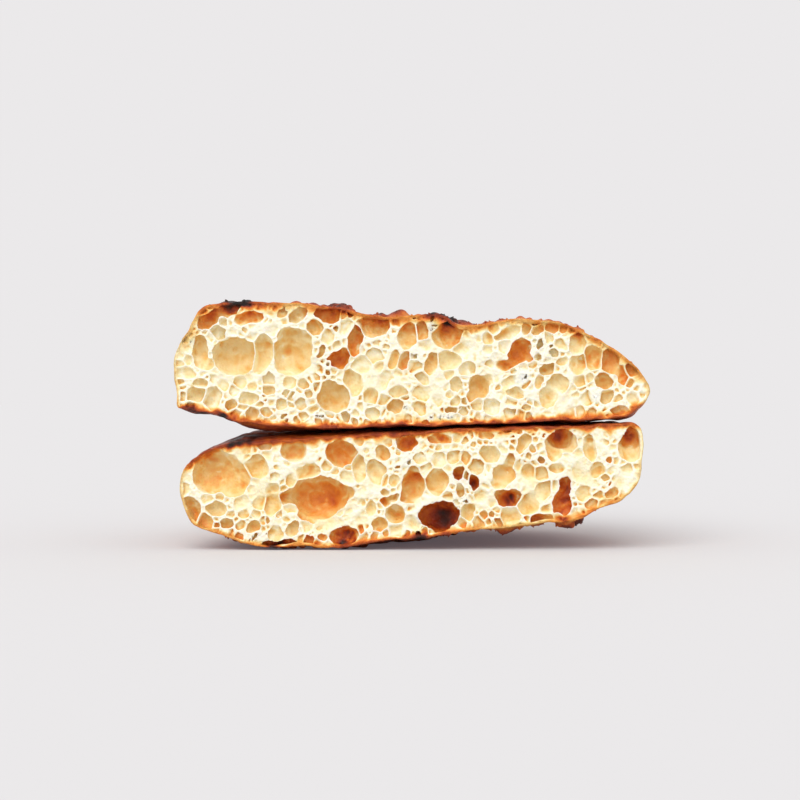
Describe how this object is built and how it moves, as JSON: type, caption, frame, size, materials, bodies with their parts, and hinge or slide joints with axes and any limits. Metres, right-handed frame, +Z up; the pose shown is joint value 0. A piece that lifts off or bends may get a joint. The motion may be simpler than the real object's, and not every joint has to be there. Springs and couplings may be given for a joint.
{
  "type": "focaccia",
  "caption": "Thick flat loaf cut across its middle, with the two halves stacked so that both cut faces show an open crumb between browned crusts.",
  "frame": {"origin": "on the table, under the middle of the stack's box", "axes": "+X along the cut faces, from the stack's left to its right as they are looked at; +Y from the cut faces to the round back; +Z up"},
  "size_m": [0.2002, 0.12, 0.1047],
  "materials": {
    "baked_bread": "matte baked crumb between browned, partly charred crusts"
  },
  "bodies": {
    "root": {"upper_half": "baked_bread", "lower_half": "baked_bread"}
  },
  "joints": []
}
